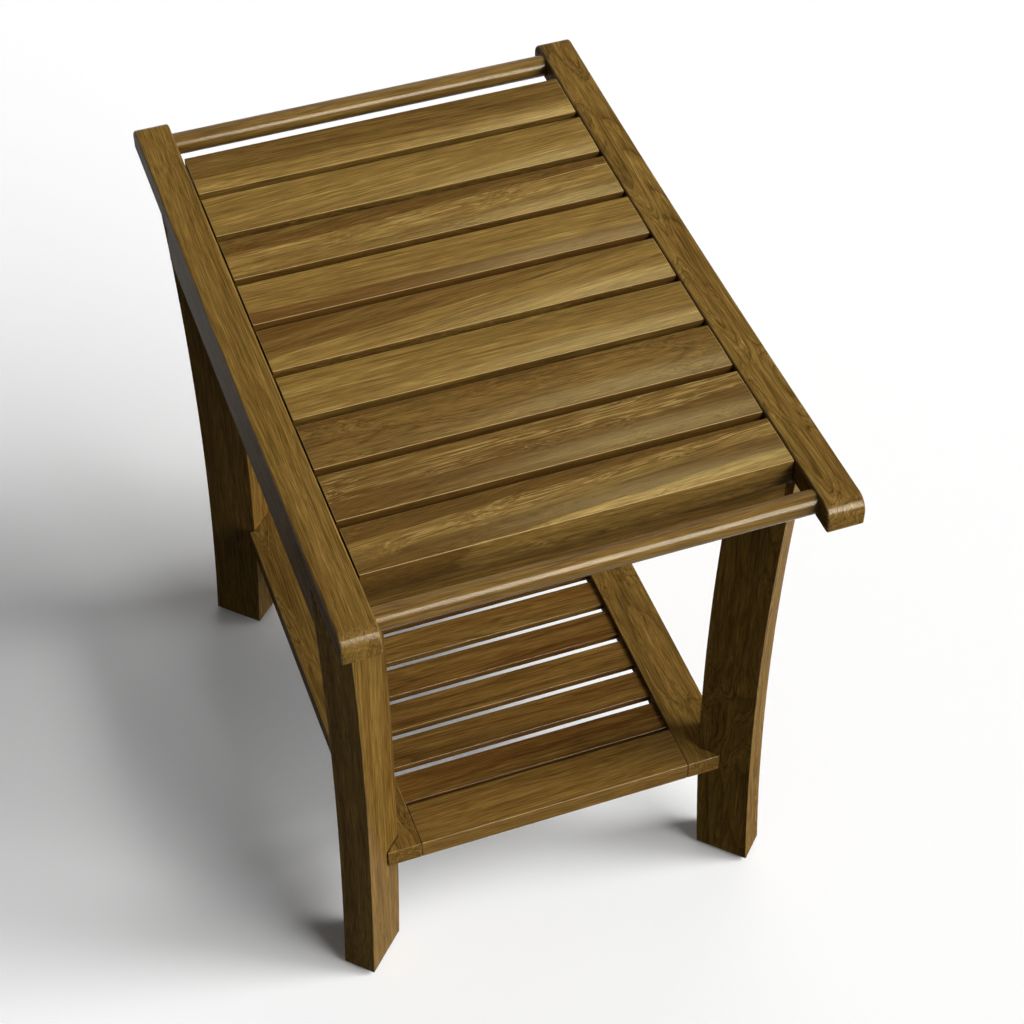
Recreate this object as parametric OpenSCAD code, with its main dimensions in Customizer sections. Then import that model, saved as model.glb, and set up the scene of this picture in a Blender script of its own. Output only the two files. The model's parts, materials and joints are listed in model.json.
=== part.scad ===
// Teak shower bench: a dished seat of cross slats between two long side rails, a round
// handle at each end, four bowed legs set at 45 degrees and a slatted shelf between them.
// X runs along the slats, Y along the side rails and Z up. The origin is on the floor,
// under the middle of the seat.

/* [Seat] */
// Height of the side rails' ends above the floor
seat_h = 460; // [420:1:520]
// Length of the side rails
seat_l = 527; // [490:1:620]
// Width over both side rails
seat_w = 341; // [310:1:420]
// How far the seat dips in the middle of its length
dish = 4.9; // [3:0.1:9]
// Thickness of the side rails and the seat slats
board_t = 19.8; // [18:0.1:24]
// Width of a side rail
rail_w = 26; // [23:1:32]
// Radius of a side rail's top corner at each end
nose_r = 11; // [6:0.5:14]
// Radius worked on a side rail's long edges
rail_edge_r = 1.5; // [1:0.25:3]

/* [Seat slats] */
// Number of seat slats
seat_slats = 9; // [8:1:10]
// Gap between two seat slats
slat_gap = 6.6; // [4:0.2:9]
// Gap between a seat slat's end and the side rail
slat_end_gap = 1; // [0.8:0.1:3]
// How far the first slat overhangs the end apron
slat_overhang = 12.9; // [9:0.1:16]
// Radius worked on the slats' edges
slat_edge_r = 0.9; // [0.5:0.1:1.5]

/* [Handles] */
// Diameter of a handle
handle_d = 16; // [13:0.1:17]
// From a side rail's end to the handle's centre line
handle_inset = 20; // [19:0.1:26]
// Depth of the handle's socket in the side rail
handle_socket = 13; // [10:0.5:18]

/* [Aprons] */
// Thickness of an apron
apron_t = 18; // [16:0.5:20]
// Depth of an apron below the side rails' ends
apron_h = 48; // [46:1:60]
// From a side rail's outer face to the side apron's
side_apron_set = 2.5; // [1:0.5:4]
// From a foot's centre out to the end apron's outer face
end_apron_set = 19.4; // [16:0.1:20]

/* [Legs] */
// Depth of a leg's section along the diagonal
leg_deep = 41.4; // [36:0.2:46]
// Thickness of a leg's section across the diagonal
leg_thick = 24.9; // [22:0.1:28]
// From a side rail's outer face in to a foot's centre
leg_inset_x = 24.5; // [23:0.5:27]
// From a side rail's end in to a foot's centre
leg_inset_y = 81.9; // [74:0.1:88]
// How far a leg bows in at its waist
leg_bow = 7.6; // [4:0.1:10]
// Height of the waist above the floor
leg_waist = 213; // [190:1:240]
// Chamfer worked on a leg's long edges
leg_edge = 0.5; // [0.5:0.1:2]

/* [Seat supports] */
// Width of a cleat, level
cleat_w = 22; // [20:1:24]
// Height of a cleat
cleat_h = 16; // [14:0.5:17]
// Thickness of a corner block along the diagonal
block_t = 26; // [24:1:28]
// Height of a corner block
block_h = 26; // [24:1:28]
// From an apron's lower edge up to a corner block
block_lift = 2; // [0:0.5:2]

/* [Shelf] */
// Height of the shelf frame's top
shelf_h = 120.3; // [90:0.1:160]
// Thickness of the shelf frame
shelf_t = 16; // [14:0.1:18]
// Width of the shelf frame's four boards
shelf_board_w = 36; // [33:0.5:40]
// From a foot's centre in to the shelf's side edge
shelf_side_set = 5.8; // [5:0.1:7]
// From a foot's centre out to the shelf's end edge
shelf_end_set = 3.3; // [2:0.1:4.5]
// Number of shelf slats
shelf_slats = 9; // [8:1:10]
// Thickness of a shelf slat
shelf_slat_t = 6; // [5:0.5:7]
// Gap between two shelf slats
shelf_slat_gap = 6.7; // [5:0.1:9]
// Gap between the first shelf slat and the end board
shelf_end_gap = 4.7; // [3:0.1:7]
// How far the shelf slats lie below the shelf frame's top
shelf_slat_drop = 3.5; // [2.5:0.1:4.5]
// Depth of a shelf slat's mortise
mortise_deep = 10; // [7:0.5:12]

/* [Hardware] */
// Height of a foot glide below the leg
glide_h = 3; // [2:0.5:4]
// Diameter of a foot glide
glide_d = 18; // [14:1:21]
// Diameter of a glide's nail
nail_d = 2.4; // [2:0.1:3]
// Length of a glide's nail
nail_l = 14; // [10:1:18]
// Diameter of a wood screw
screw_d = 4; // [3.5:0.1:4.5]
// Length of a wood screw
screw_l = 30; // [28:1:31]
// Diameter of a wood screw's head
screw_head_d = 8; // [7:0.1:8.4]
// Diameter of a hanger bolt
bolt_d = 6; // [5:0.5:7]
// Length of a hanger bolt inside the leg
bolt_bite = 28; // [22:1:32]
// Length of a hanger bolt past its nut
bolt_tail = 3; // [1:0.5:6]
// Diameter of a washer
washer_d = 18; // [14:1:20]
// Thickness of a washer
washer_t = 1.6; // [1:0.2:2]
// Width of a nut across its corners
nut_d = 11.5; // [10:0.1:13]
// Height of a nut
nut_h = 5; // [4:0.5:6]

/* [Dowels] */
// Diameter of the seat frame's dowels
dowel_d = 8; // [6:0.5:9]
// Length of the seat frame's dowels
dowel_l = 30; // [26:1:34]
// Length of a dowel inside the side rail or the slat
dowel_bite = 11; // [8:0.5:12]
// Distance of an end slat's dowels from the middle
slat_dowel_x = 70; // [40:1:90]
// Diameter of the shelf frame's dowels
shelf_dowel_d = 6; // [5:0.5:6.5]
// Length of the shelf frame's dowels
shelf_dowel_l = 24; // [20:1:26]
// Length of a shelf dowel inside the side board
shelf_dowel_bite = 8; // [6:0.5:8.5]
// Distance between the two dowels of a shelf joint
shelf_dowel_pitch = 14; // [12:1:15]
// Diameter of a shelf pin
pin_d = 8; // [6:0.5:8.5]
// Length of a shelf pin
pin_l = 30; // [26:1:32]

/* [Fits] */
// Clearance where two wooden pieces rest on each other along a curve
bed_fit = 0.1; // [0.05:0.05:0.3]
// Radial clearance around a dowel, screw or handle
pin_fit = 0.1; // [0.05:0.05:0.2]
// Radial clearance around a bolt in a corner block and a washer
bolt_fit = 0.3; // [0.2:0.05:0.5]
// Clearance between the shelf and a leg
shelf_fit = 0.3; // [0.2:0.05:0.5]
// Clearance around a shelf slat in its mortise
mortise_fit = 0.15; // [0.1:0.05:0.3]

/* [Hidden] */
sides = ["left", "right"];
ends = ["front", "back"];
corners = [for (e = ends) for (s = sides) str(e, "_", s)];

teak = "#8a6a3a";
teak_light = "#9a7a46";
teak_dark = "#6f5230";
dowel_wood = "#c9b48a";
stainless = "#b8bcc0";
glide_black = "#2b2b2b";

diagonal = 45;
across = sqrt(2);
arc_fn = 1440;
edge_fn = 32;
round_fn = 64;

// A length by which cuts and swept bars run past what they cut
spare = 10;
chamfer = 0.8;

// The seat's top follows one large circle, whose centre is high above the bench
dish_r = (pow(seat_l / 2, 2) + pow(dish, 2)) / (2 * dish);
dish_z = seat_h - dish + dish_r;
bed_r = dish_r + board_t + bed_fit;
seat_sweep = asin((seat_l / 2 + spare) / dish_r);

// A leg's centre line is one arc, through the foot's centre and the waist
bow_r = (pow(leg_waist, 2) + pow(leg_bow, 2)) / (2 * leg_bow);
leg_sweep = asin((max(leg_waist, seat_h - leg_waist) + spare) / bow_r);

leg_x = seat_w / 2 - leg_inset_x;
leg_y = seat_l / 2 - leg_inset_y;
side_out = seat_w / 2 - side_apron_set;
side_in = side_out - apron_t;
end_out = leg_y + end_apron_set;
end_in = end_out - apron_t;
rail_in = seat_w / 2 - rail_w;
apron_z = seat_h - board_t - apron_h;
mitre = across * (leg_thick / 2 + bed_fit);

slat_field = 2 * (end_out + slat_overhang);
slat_w = (slat_field - (seat_slats - 1) * slat_gap) / seat_slats;
slat_pitch = slat_w + slat_gap;
slat_l = 2 * (rail_in - slat_end_gap);

handle_y = seat_l / 2 - handle_inset;
handle_z = arc_z(dish_r + board_t / 2, handle_y);
handle_end_gap = 0.5;
handle_l = 2 * (rail_in + handle_socket - handle_end_gap);

cleat_x = side_in - cleat_w / 2;
cleat_screw_n = 4;
screw_sink = 1;
screw_cone = 2.4;
screw_slot_w = 1;
screw_slot_l = 4.4;
screw_slot_h = 1.2;

// A corner block lies under the cleat's end, and its two faces square to the diagonal lie
// where x + y has the values block_outer and block_inner
block_z = apron_z + block_lift;
bolt_z = block_z + block_h / 2;
leg_face = leg_deep / 2 - leg_bow_at(block_z + block_h);
block_outer = leg_x + leg_y - across * leg_face;
block_inner = block_outer - across * block_t;
block_screw_bite = 12;
block_screw_spread = 14;
bolt_l = bolt_bite + block_t + washer_t + nut_h + bolt_tail;
washer_hole_d = bolt_d + 2 * bolt_fit;

rail_dowel_steps = [-2.5, -1, 1, 2.5];

shelf_x = leg_x - shelf_side_set;
shelf_y = leg_y + shelf_end_set;
shelf_z = shelf_h - shelf_t;
shelf_mid = shelf_h - shelf_t / 2;
shelf_open_x = shelf_x - shelf_board_w;
shelf_open_y = shelf_y - shelf_board_w;
shelf_slat_w = (2 * (shelf_open_y - shelf_end_gap) - (shelf_slats - 1) * shelf_slat_gap)
    / shelf_slats;
shelf_slat_pitch = shelf_slat_w + shelf_slat_gap;
shelf_slat_z = shelf_h - shelf_slat_drop - shelf_slat_t / 2;
shelf_slat_l = 2 * (shelf_open_x + mortise_deep - mortise_fit);
shelf_notch = leg_deep / 2 - leg_bow_at(shelf_mid);
pin_start = -shelf_notch - pin_l / 2;

// Height of the circle of radius r about the dish's centre, at distance y from the middle
function arc_z(r, y) = dish_z - sqrt(pow(r, 2) - pow(y, 2));

// How far a leg's centre line lies outside the foot's centre at a height, negative inwards
function leg_bow_at(z) = bow_r - leg_bow - sqrt(pow(bow_r, 2) - pow(z - leg_waist, 2));

// Angle of a seat slat about the dish's centre
function slat_angle(i) = asin((i - (seat_slats + 1) / 2) * slat_pitch / dish_r);

function shelf_slat_y(i) = (i - (shelf_slats + 1) / 2) * shelf_slat_pitch;

// ---------------------------------------------------------------- shared forms

// Rectangle a by b with rounded corners, about the origin
module eased_section(a, b, r) {
    square([a - 2 * r, b], center = true);
    square([a, b - 2 * r], center = true);
    for (x = [-1, 1])
        for (y = [-1, 1])
            translate([x * (a / 2 - r), y * (b / 2 - r)])
                circle(r, $fn = edge_fn);
}

// Rectangle a by b with its corners cut off at 45 degrees, about the origin
module chamfered_section(a, b, c) {
    polygon([[a / 2 - c, b / 2], [c - a / 2, b / 2], [-a / 2, b / 2 - c], [-a / 2, c - b / 2],
             [c - a / 2, -b / 2], [a / 2 - c, -b / 2], [a / 2, c - b / 2], [a / 2, b / 2 - c]]);
}

// Board of size [x, y, z] about the origin, with all its edges rounded
module eased_board(size, r) {
    intersection() {
        linear_extrude(size.z, center = true)
            eased_section(size.x, size.y, r);
        rotate([90, 0, 0])
            linear_extrude(size.y, center = true)
                eased_section(size.x, size.z, r);
        rotate([90, 0, 90])
            linear_extrude(size.x, center = true)
                eased_section(size.y, size.z, r);
    }
}

// Round peg along Z from the origin, with chamfered ends
module peg(d, l) {
    rotate_extrude($fn = round_fn)
        polygon([[0, 0], [d / 2 - chamfer, 0], [d / 2, chamfer],
                 [d / 2, l - chamfer], [d / 2 - chamfer, l], [0, l]]);
}

// Hole for a peg
module peg_hole(d, l, fit) {
    translate([0, 0, -fit])
        cylinder(d = d + 2 * fit, h = l + 2 * fit, $fn = round_fn);
}

// Countersunk wood screw along Z, with its head's face at the origin
module wood_screw() {
    difference() {
        rotate_extrude($fn = edge_fn)
            polygon([[0, 0], [screw_head_d / 2, 0], [screw_d / 2, screw_cone],
                     [screw_d / 2, screw_l - screw_d], [0, screw_l]]);
        for (turn = [0, 90])
            rotate(turn)
                cube([screw_slot_l, screw_slot_w, 2 * screw_slot_h], center = true);
    }
}

// Hole for a wood screw, with a counterbore of length bore behind its head
module screw_hole(bore) {
    head = screw_head_d / 2 + pin_fit;
    shank = screw_d / 2 + pin_fit;
    rotate_extrude($fn = edge_fn)
        polygon([[0, -bore], [head, -bore], [head, 0], [shank, screw_cone],
                 [shank, screw_l + pin_fit], [0, screw_l + pin_fit]]);
}

// Everything above the circle of radius r about the dish's centre, along X
module above_arc(r) {
    translate([0, 0, dish_z])
        rotate([0, 90, 0])
            cylinder(r = r, h = seat_w + 2 * spare, center = true, $fn = arc_fn * 2);
}

// A section swept along the dish: its 2D x is the depth below the seat, its y is X
module along_dish(x) {
    translate([x, 0, dish_z])
        rotate([90, 0, 90])
            rotate([0, 0, -90 - seat_sweep])
                rotate_extrude(angle = 2 * seat_sweep, $fn = arc_fn)
                    translate([dish_r, 0])
                        children();
}

// The right side as drawn, or its mirror image on the left
module on_side(s) {
    mirror([s == "left" ? 1 : 0, 0, 0])
        children();
}

// The back end as drawn, or its mirror image at the front
module on_end(e) {
    mirror([0, e == "front" ? 1 : 0, 0])
        children();
}

module each_side() {
    for (s = sides)
        on_side(s)
            children();
}

module each_corner() {
    for (e = ends)
        for (s = sides)
            on_end(e)
                on_side(s)
                    children();
}

// Frame of the back right leg: X outwards along the diagonal, from the foot's centre
module on_diagonal(z) {
    translate([leg_x, leg_y, z])
        rotate(diagonal)
            children();
}

// ---------------------------------------------------------------- legs

// The back right leg's bowed bar, uncut, grown on all sides by a clearance
module leg_bar(grow = 0) {
    on_diagonal(leg_waist)
        translate([bow_r - leg_bow, 0, 0])
            rotate([90, 0, 0])
                rotate([0, 0, 180 - leg_sweep])
                    rotate_extrude(angle = 2 * leg_sweep, $fn = arc_fn)
                        translate([bow_r, 0])
                            chamfered_section(leg_deep + 2 * grow, leg_thick + 2 * grow, leg_edge);
}

module leg() {
    color(teak)
        difference() {
            intersection() {
                leg_bar();
                translate([0, 0, glide_h])
                    cube([seat_w, seat_l, seat_h]);
            }
            above_arc(bed_r);
            hanger_bolt_hole(pin_fit);
            shelf_pin_hole();
            on_diagonal(glide_h)
                peg_hole(nail_d, nail_l, pin_fit);
        }
}

module foot_glides() {
    color(glide_black)
        each_corner()
            on_diagonal(0)
                rotate_extrude($fn = round_fn)
                    polygon([[0, 0], [glide_d / 2 - chamfer, 0], [glide_d / 2, chamfer],
                             [glide_d / 2, glide_h], [nail_d / 2, glide_h],
                             [nail_d / 2, glide_h + nail_l - nail_d], [0, glide_h + nail_l]]);
}

// ---------------------------------------------------------------- seat frame

// Outline of a side rail seen from the side, as a cut that leaves its rounded noses
module rail_outline() {
    nose_y = seat_l / 2 - nose_r;
    nose_z = arc_z(dish_r + nose_r, nose_y);
    tangent_y = nose_y * dish_r / (dish_r + nose_r);
    rotate([90, 0, 90])
        linear_extrude(seat_w + 2 * spare, center = true) {
            translate([-seat_l / 2, nose_z - 2 * board_t])
                square([seat_l, 2 * board_t]);
            translate([-tangent_y, nose_z - board_t])
                square([2 * tangent_y, 3 * board_t]);
            for (y = [-1, 1])
                translate([y * nose_y, nose_z])
                    circle(nose_r, $fn = round_fn);
        }
}

module rail() {
    color(teak)
        difference() {
            intersection() {
                along_dish(rail_in + rail_w / 2)
                    translate([board_t / 2, 0])
                        eased_section(board_t, rail_w, rail_edge_r);
                rail_outline();
            }
            for (e = ends)
                on_end(e)
                    translate([0, handle_y, handle_z])
                        rotate([0, 90, 0])
                            cylinder(d = handle_d + 2 * pin_fit, h = rail_in + handle_socket,
                                     $fn = round_fn);
            rail_dowel_holes();
        }
}

module handle(e) {
    color(teak_light)
        on_end(e)
            translate([-handle_l / 2, handle_y, handle_z])
                rotate([0, 90, 0])
                    peg(handle_d, handle_l);
}

module apron_side() {
    side_end = leg_y - leg_x - mitre;
    color(teak_dark)
        difference() {
            translate([0, 0, apron_z])
                linear_extrude(apron_h + spare)
                    polygon([[side_in, side_in + side_end], [side_out, side_out + side_end],
                             [side_out, -side_out - side_end], [side_in, -side_in - side_end]]);
            above_arc(bed_r);
            rail_dowel_holes();
            cleat_screw_holes();
            block_screw_holes();
            mirror([0, 1, 0])
                block_screw_holes();
        }
}

module apron_end() {
    end_side = leg_x - leg_y - mitre;
    color(teak_dark)
        difference() {
            translate([0, 0, apron_z])
                linear_extrude(apron_h + spare)
                    polygon([[end_in + end_side, end_in], [end_out + end_side, end_out],
                             [-end_out - end_side, end_out], [-end_in - end_side, end_in]]);
            above_arc(bed_r);
            slat_dowel_holes();
            block_screw_holes();
            mirror([1, 0, 0])
                block_screw_holes();
        }
}

// ---------------------------------------------------------------- seat supports

// Frame at a seat slat's underside, on the right side's cleat line, Z up into the slat
module at_slat(i) {
    translate([cleat_x, 0, dish_z])
        rotate([slat_angle(i), 0, 0])
            translate([0, 0, -dish_r - board_t])
                children();
}

module cleat() {
    color(teak_dark)
        difference() {
            along_dish(cleat_x)
                translate([board_t + bed_fit + cleat_h / 2, 0])
                    square([cleat_h, cleat_w], center = true);
            for (turn = [0, 1])
                mirror([0, turn, 0]) {
                    translate([0, block_outer, 0])
                        rotate(-diagonal)
                            translate([-seat_w, 0, 0])
                                cube([2 * seat_w, seat_l, 2 * seat_h]);
                    leg_bar(bed_fit);
                }
            for (i = [2:seat_slats - 1])
                slat_screw_hole(i);
            cleat_screw_holes();
        }
}

module slat_screw_place(i) {
    at_slat(i)
        translate([0, 0, -bed_fit - cleat_h + screw_sink])
            children();
}

module slat_screw_hole(i) {
    slat_screw_place(i)
        screw_hole(spare);
}

module cleat_screw_places() {
    for (i = [1:cleat_screw_n]) {
        y = (i - (cleat_screw_n + 1) / 2) * slat_pitch;
        translate([side_in - cleat_w + screw_sink, y, arc_z(bed_r + cleat_h / 2, y)])
            rotate([0, 90, 0])
                children();
    }
}

module cleat_screw_holes() {
    cleat_screw_places()
        screw_hole(spare);
}

module slat_screws() {
    color(stainless)
        each_side()
            for (i = [2:seat_slats - 1])
                slat_screw_place(i)
                    wood_screw();
}

module cleat_screws() {
    color(stainless)
        each_side()
            cleat_screw_places()
                wood_screw();
}

module corner_block() {
    color(teak_dark)
        difference() {
            translate([0, 0, block_z])
                linear_extrude(block_h)
                    polygon([[block_inner - end_in, end_in], [block_outer - end_in, end_in],
                             [side_in, block_outer - side_in], [side_in, block_inner - side_in]]);
            leg_bar(bed_fit);
            hanger_bolt_hole(bolt_fit);
            block_screw_holes();
        }
}

// Two screws into each apron that a corner block touches, square to the apron
module block_screw_places() {
    middle = (block_outer + block_inner) / 2;
    for (z = [-1, 1] * block_screw_spread / 2) {
        translate([side_in + block_screw_bite - screw_l, middle - side_in, bolt_z + z])
            rotate([0, 90, 0])
                children();
        translate([middle - end_in, end_in + block_screw_bite - screw_l, bolt_z + z])
            rotate([-90, 0, 0])
                children();
    }
}

module block_screw_holes() {
    block_screw_places()
        screw_hole(block_t);
}

module block_screws() {
    color(stainless)
        each_corner()
            block_screw_places()
                wood_screw();
}

// ---------------------------------------------------------------- leg fixings

// Frame at a hanger bolt's nut end, its Z outwards along the diagonal
module at_bolt() {
    on_diagonal(bolt_z)
        translate([bolt_bite - leg_face - bolt_l, 0, 0])
            rotate([0, 90, 0])
                children();
}

module hanger_bolt_hole(fit) {
    at_bolt()
        peg_hole(bolt_d, bolt_l, fit);
}

module hanger_bolts() {
    color(stainless)
        each_corner()
            at_bolt()
                rotate_extrude($fn = edge_fn)
                    polygon([[0, 0], [bolt_d / 2 - chamfer, 0], [bolt_d / 2, chamfer],
                             [bolt_d / 2, bolt_l - bolt_d], [0, bolt_l]]);
}

module bolt_washers() {
    color(stainless)
        each_corner()
            at_bolt()
                translate([0, 0, bolt_tail + nut_h])
                    difference() {
                        cylinder(d = washer_d, h = washer_t, $fn = round_fn);
                        translate([0, 0, -spare])
                            cylinder(d = washer_hole_d, h = 3 * spare, $fn = round_fn);
                    }
}

module bolt_nuts() {
    color(stainless)
        each_corner()
            at_bolt()
                translate([0, 0, bolt_tail])
                    difference() {
                        cylinder(d = nut_d, h = nut_h, $fn = 6);
                        translate([0, 0, -spare])
                            cylinder(d = bolt_d + 2 * pin_fit, h = 3 * spare, $fn = round_fn);
                    }
}

// ---------------------------------------------------------------- seat dowels

module rail_dowel_places() {
    for (step = rail_dowel_steps) {
        y = step * slat_pitch;
        translate([(side_in + side_out) / 2, y, arc_z(bed_r, y) + dowel_bite - dowel_l])
            children();
    }
}

module rail_dowel_holes() {
    rail_dowel_places()
        peg_hole(dowel_d, dowel_l, pin_fit);
}

module rail_dowels() {
    color(dowel_wood)
        each_side()
            rail_dowel_places()
                peg(dowel_d, dowel_l);
}

module slat_dowel_places() {
    y = (end_in + end_out) / 2;
    for (x = [-1, 1] * slat_dowel_x)
        translate([x, y, arc_z(bed_r, y) + dowel_bite - dowel_l])
            children();
}

module slat_dowel_holes() {
    slat_dowel_places()
        peg_hole(dowel_d, dowel_l, pin_fit);
}

module slat_dowels() {
    color(dowel_wood)
        for (e = ends)
            on_end(e)
                slat_dowel_places()
                    peg(dowel_d, dowel_l);
}

// ---------------------------------------------------------------- seat slats

module slat(i) {
    color(i % 2 == 0 ? teak : teak_light)
        difference() {
            translate([0, 0, dish_z])
                rotate([slat_angle(i), 0, 0])
                    translate([0, 0, -dish_r - board_t / 2])
                        eased_board([slat_l, slat_w, board_t], slat_edge_r);
            if (i == 1 || i == seat_slats)
                on_end(i == 1 ? "front" : "back")
                    slat_dowel_holes();
            else
                each_side()
                    slat_screw_hole(i);
        }
}

// ---------------------------------------------------------------- shelf

// What a leg and its square shoulder take out of the shelf's corner
module shelf_corner_cut() {
    half = leg_thick / 2 + shelf_fit;
    corner_x = leg_x + (half - shelf_notch) / across;
    corner_y = leg_y - (half + shelf_notch) / across;
    leg_bar(shelf_fit);
    translate([corner_x, corner_y, shelf_z - spare])
        cube([shelf_board_w, shelf_board_w, shelf_t + 2 * spare]);
}

module shelf_pin_hole() {
    on_diagonal(shelf_mid)
        translate([pin_start, 0, 0])
            rotate([0, 90, 0])
                peg_hole(pin_d, pin_l, pin_fit);
}

module shelf_dowel_places() {
    for (y = [-1, 1] * shelf_dowel_pitch / 2)
        translate([shelf_open_x + shelf_dowel_bite - shelf_dowel_l,
                   shelf_y - shelf_board_w / 2 + y, shelf_mid])
            rotate([0, 90, 0])
                children();
}

module shelf_dowel_holes() {
    shelf_dowel_places()
        peg_hole(shelf_dowel_d, shelf_dowel_l, pin_fit);
}

module shelf_rail() {
    color(teak)
        difference() {
            translate([shelf_x - shelf_board_w / 2, 0, shelf_mid])
                eased_board([shelf_board_w, 2 * shelf_y, shelf_t], slat_edge_r);
            for (turn = [0, 1])
                mirror([0, turn, 0]) {
                    shelf_corner_cut();
                    shelf_pin_hole();
                    shelf_dowel_holes();
                }
            for (i = [1:shelf_slats])
                translate([shelf_open_x, shelf_slat_y(i), shelf_slat_z])
                    cube([2 * mortise_deep, shelf_slat_w + 2 * mortise_fit,
                          shelf_slat_t + 2 * mortise_fit], center = true);
        }
}

module shelf_board() {
    color(teak_light)
        difference() {
            translate([0, shelf_y - shelf_board_w / 2, shelf_mid])
                eased_board([2 * shelf_open_x, shelf_board_w, shelf_t], slat_edge_r);
            each_side()
                shelf_dowel_holes();
        }
}

module shelf_slat(i) {
    color(teak)
        translate([0, shelf_slat_y(i), shelf_slat_z])
            eased_board([shelf_slat_l, shelf_slat_w, shelf_slat_t], slat_edge_r);
}

module shelf_dowels() {
    color(dowel_wood)
        each_corner()
            shelf_dowel_places()
                peg(shelf_dowel_d, shelf_dowel_l);
}

module shelf_pins() {
    color(dowel_wood)
        each_corner()
            on_diagonal(shelf_mid)
                translate([pin_start, 0, 0])
                    rotate([0, 90, 0])
                        peg(pin_d, pin_l);
}

// ---------------------------------------------------------------- the nodes

for (s = sides) {
    on_side(s) rail();
    on_side(s) apron_side();
    on_side(s) cleat();
    on_side(s) shelf_rail();
}
for (e = ends) {
    handle(e);
    on_end(e) apron_end();
    on_end(e) shelf_board();
    for (s = sides) {
        on_end(e) on_side(s) leg();
        on_end(e) on_side(s) corner_block();
    }
}
for (i = [1:seat_slats])
    slat(i);
for (i = [1:shelf_slats])
    shelf_slat(i);
hanger_bolts();
bolt_washers();
bolt_nuts();
slat_screws();
cleat_screws();
block_screws();
rail_dowels();
slat_dowels();
shelf_dowels();
shelf_pins();
foot_glides();
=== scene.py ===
"""Teak shower bench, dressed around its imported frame.

Every board is made here with its worked edges and its own place in the log, so that the
growth rings, streaks and pores run through it as they do through sawn teak.
"""

import json
import math

import bpy
from mathutils import Matrix, Vector

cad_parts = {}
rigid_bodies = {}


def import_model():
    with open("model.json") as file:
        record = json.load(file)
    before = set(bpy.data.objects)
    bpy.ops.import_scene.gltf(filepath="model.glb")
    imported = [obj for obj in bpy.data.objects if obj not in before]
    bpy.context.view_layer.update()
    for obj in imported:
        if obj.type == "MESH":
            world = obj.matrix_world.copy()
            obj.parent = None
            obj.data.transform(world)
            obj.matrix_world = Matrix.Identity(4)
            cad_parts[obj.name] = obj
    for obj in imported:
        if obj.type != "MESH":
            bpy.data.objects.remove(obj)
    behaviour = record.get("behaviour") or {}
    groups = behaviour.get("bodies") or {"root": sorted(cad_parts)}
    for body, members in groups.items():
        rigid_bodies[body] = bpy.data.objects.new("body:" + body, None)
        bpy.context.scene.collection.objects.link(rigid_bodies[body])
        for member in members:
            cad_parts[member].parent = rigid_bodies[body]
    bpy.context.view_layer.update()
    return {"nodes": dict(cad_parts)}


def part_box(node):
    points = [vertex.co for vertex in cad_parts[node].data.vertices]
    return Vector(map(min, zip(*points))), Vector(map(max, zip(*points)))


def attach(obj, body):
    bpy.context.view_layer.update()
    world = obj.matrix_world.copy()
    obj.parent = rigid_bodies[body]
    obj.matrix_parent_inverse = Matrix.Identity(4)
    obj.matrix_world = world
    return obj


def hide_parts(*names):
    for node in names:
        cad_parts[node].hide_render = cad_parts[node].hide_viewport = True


bl_info = {
    "name": "Teak shower bench",
    "version": (1, 0, 0),
    "blender": (4, 5, 0),
    "location": "View3D > Sidebar > Shower bench",
    "description": "Builds a dished teak shower bench with a slatted shelf, board by board",
    "category": "Object",
}

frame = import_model()

rail_low, rail_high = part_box("rail_right")

SIDES = {"left": -1, "right": 1}
ENDS = {"front": -1, "back": 1}
SEAT_SLATS = range(1, 10)
SHELF_SLATS = range(1, 10)
UP = Vector((0, 0, 1))
ALONG_X = Vector((1, 0, 0))
ALONG_Y = Vector((0, 1, 0))
MM = 1000.0


# ------------------------------------------------------------------ sizes and colours

def linear(colour):
    """An sRGB hex colour as linear red, green, blue and alpha."""
    parts = [int(colour[i:i + 2], 16) / 255 for i in (1, 3, 5)]
    return [p / 12.92 if p <= 0.04045 else ((p + 0.055) / 1.055) ** 2.4 for p in parts] + [1.0]


def size(name, text, default):
    """A length in metres that a user may change."""
    return bpy.props.FloatProperty(name=name, description=text, default=default,
                                   unit="LENGTH", precision=4, min=0.0)


def tint(name, text, default):
    """A colour that a user may change, given as sRGB hex."""
    return bpy.props.FloatVectorProperty(name=name, description=text, subtype="COLOR", size=4,
                                         min=0.0, max=1.0, default=linear(default))


class BenchSizes(bpy.types.PropertyGroup):
    """Sizes of the worked wood. Places and overall sizes come from the frame."""
    dish: size("Dish", "How far the seat dips in the middle of its length", 0.0049)
    board: size("Board thickness", "Thickness of the side rails and seat slats", 0.0198)
    nose: size("Nose radius", "Radius of a side rail's top corner at each end", 0.011)
    crown: size("Slat crown", "How far a seat slat's front edge lies below its middle", 0.0004)
    rail_edge: size("Rail edge", "Radius worked on a side rail's long edges", 0.0015)
    board_edge: size("Board edge", "Radius worked on the slats and the shelf boards", 0.0009)
    handle_edge: size("Handle edge", "Chamfer on a handle's ends, inside the rails", 0.0008)
    leg_edge: size("Leg edge", "Radius worked on a leg's long edges", 0.0006)
    leg_deep: size("Leg depth", "Depth of a leg's section along the diagonal", 0.0414)
    leg_thick: size("Leg thickness", "Thickness of a leg's section", 0.0249)
    leg_bow: size("Leg bow", "How far a leg bows in at its waist", 0.0076)
    leg_waist: size("Leg waist", "Height of the waist above the floor", 0.213)
    apron: size("Apron thickness", "Thickness of an apron", 0.018)
    glue: size("Glue line", "Gap under the seat at the aprons' and the legs' tops", 0.0001)
    notch: size("Notch gap", "Gap between a leg and the shelf's notch round it", 0.0003)


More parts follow.
